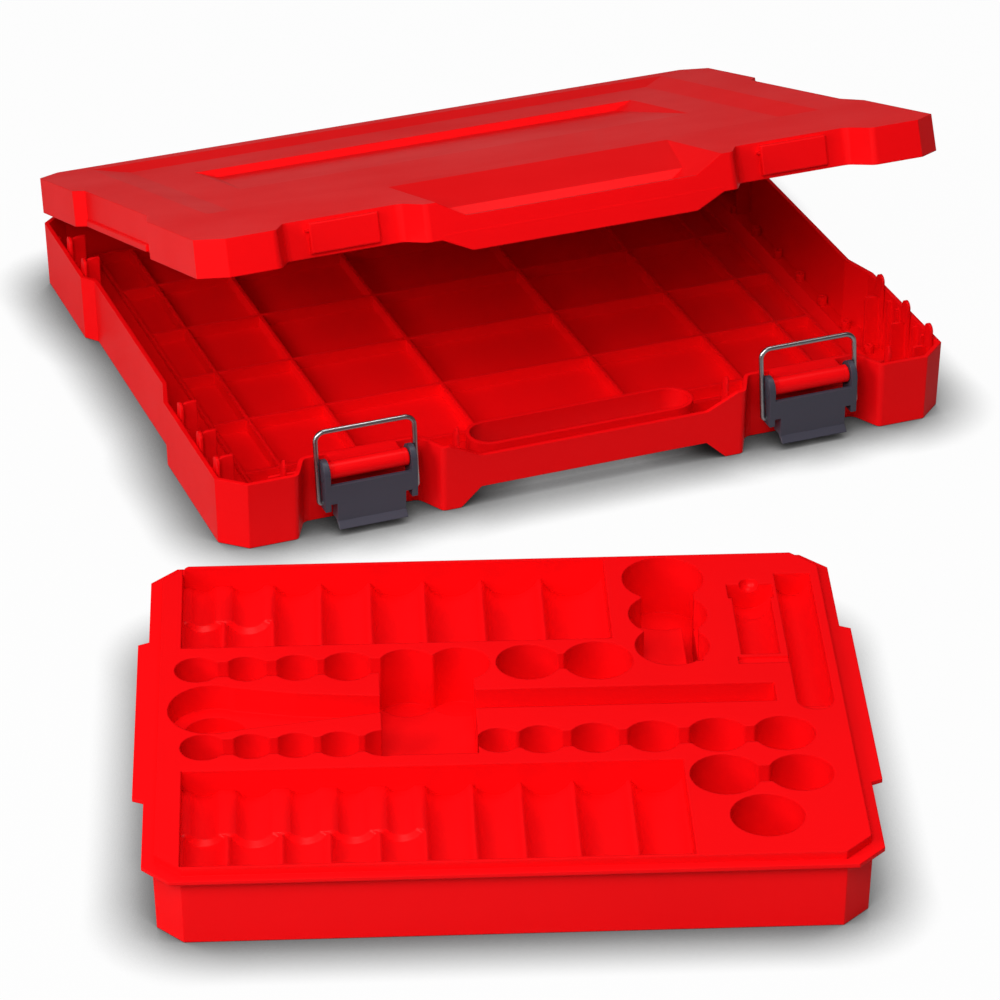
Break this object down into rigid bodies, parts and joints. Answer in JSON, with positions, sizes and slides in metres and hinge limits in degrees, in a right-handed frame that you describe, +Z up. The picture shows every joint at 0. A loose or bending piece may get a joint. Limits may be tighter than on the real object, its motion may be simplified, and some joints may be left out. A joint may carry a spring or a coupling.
{
  "type": "socket set carry case with lift-out tray",
  "caption": "Flat red plastic carry case with a hinged lid and two wire-bail latches, its lift-out socket organizer tray standing in front.",
  "frame": {"origin": "centre of the case's underside", "axes": "+Z up; +X along the tray's long edge to the right as seen from the front, +Y from the tray to the case; the case is turned 18.4 degrees about Z"},
  "size_m": [0.4764, 0.7708, 0.1624],
  "materials": {
    "red_plastic": "satin gloss",
    "grey_plastic": "satin",
    "steel_wire": "drawn wire"
  },
  "bodies": {
    "case": {"case_base": "red_plastic", "hinge_pin_left": "steel_wire", "hinge_pin_right": "steel_wire"},
    "lid": {"case_lid": "red_plastic"},
    "tray": {"socket_tray": "red_plastic"},
    "lever_left": {"latch_lever_left": "grey_plastic"},
    "bail_left": {"latch_bail_left": "steel_wire"},
    "lever_right": {"latch_lever_right": "grey_plastic"},
    "bail_right": {"latch_bail_right": "steel_wire"}
  },
  "joints": [
    {"name": "lid_hinge", "type": "hinge", "parent": "case", "child": "lid", "pos_m": [-0.05287, 0.15894, 0.0372], "axis": [-0.9489, -0.3156, 0], "range_deg": [-18.9, 88]},
    {"name": "latch_left_lever", "type": "hinge", "parent": "case", "child": "lever_left", "pos_m": [-0.06573, -0.18732, 0.033], "axis": [-0.9489, -0.3156, 0], "range_deg": [0, 110]},
    {"name": "latch_left_bail", "type": "hinge", "parent": "lever_left", "child": "bail_left", "pos_m": [-0.06529, -0.18865, 0.016], "axis": [0.9489, 0.3156, 0], "range_deg": [0, 110]},
    {"name": "latch_right_lever", "type": "hinge", "parent": "case", "child": "lever_right", "pos_m": [0.16484, -0.11062, 0.033], "axis": [-0.9489, -0.3156, 0], "range_deg": [0, 110]},
    {"name": "latch_right_bail", "type": "hinge", "parent": "lever_right", "child": "bail_right", "pos_m": [0.16529, -0.11195, 0.016], "axis": [0.9489, 0.3156, 0], "range_deg": [0, 110]},
    {"name": "tray_lift", "type": "slide", "parent": "case", "child": "tray", "axis": [0, 0, 1], "range_m": [0, 0.12]}
  ],
  "couplings": [
    {"joint": "latch_left_bail", "follows": "latch_left_lever", "ratio": 1},
    {"joint": "latch_right_bail", "follows": "latch_right_lever", "ratio": 1}
  ]
}
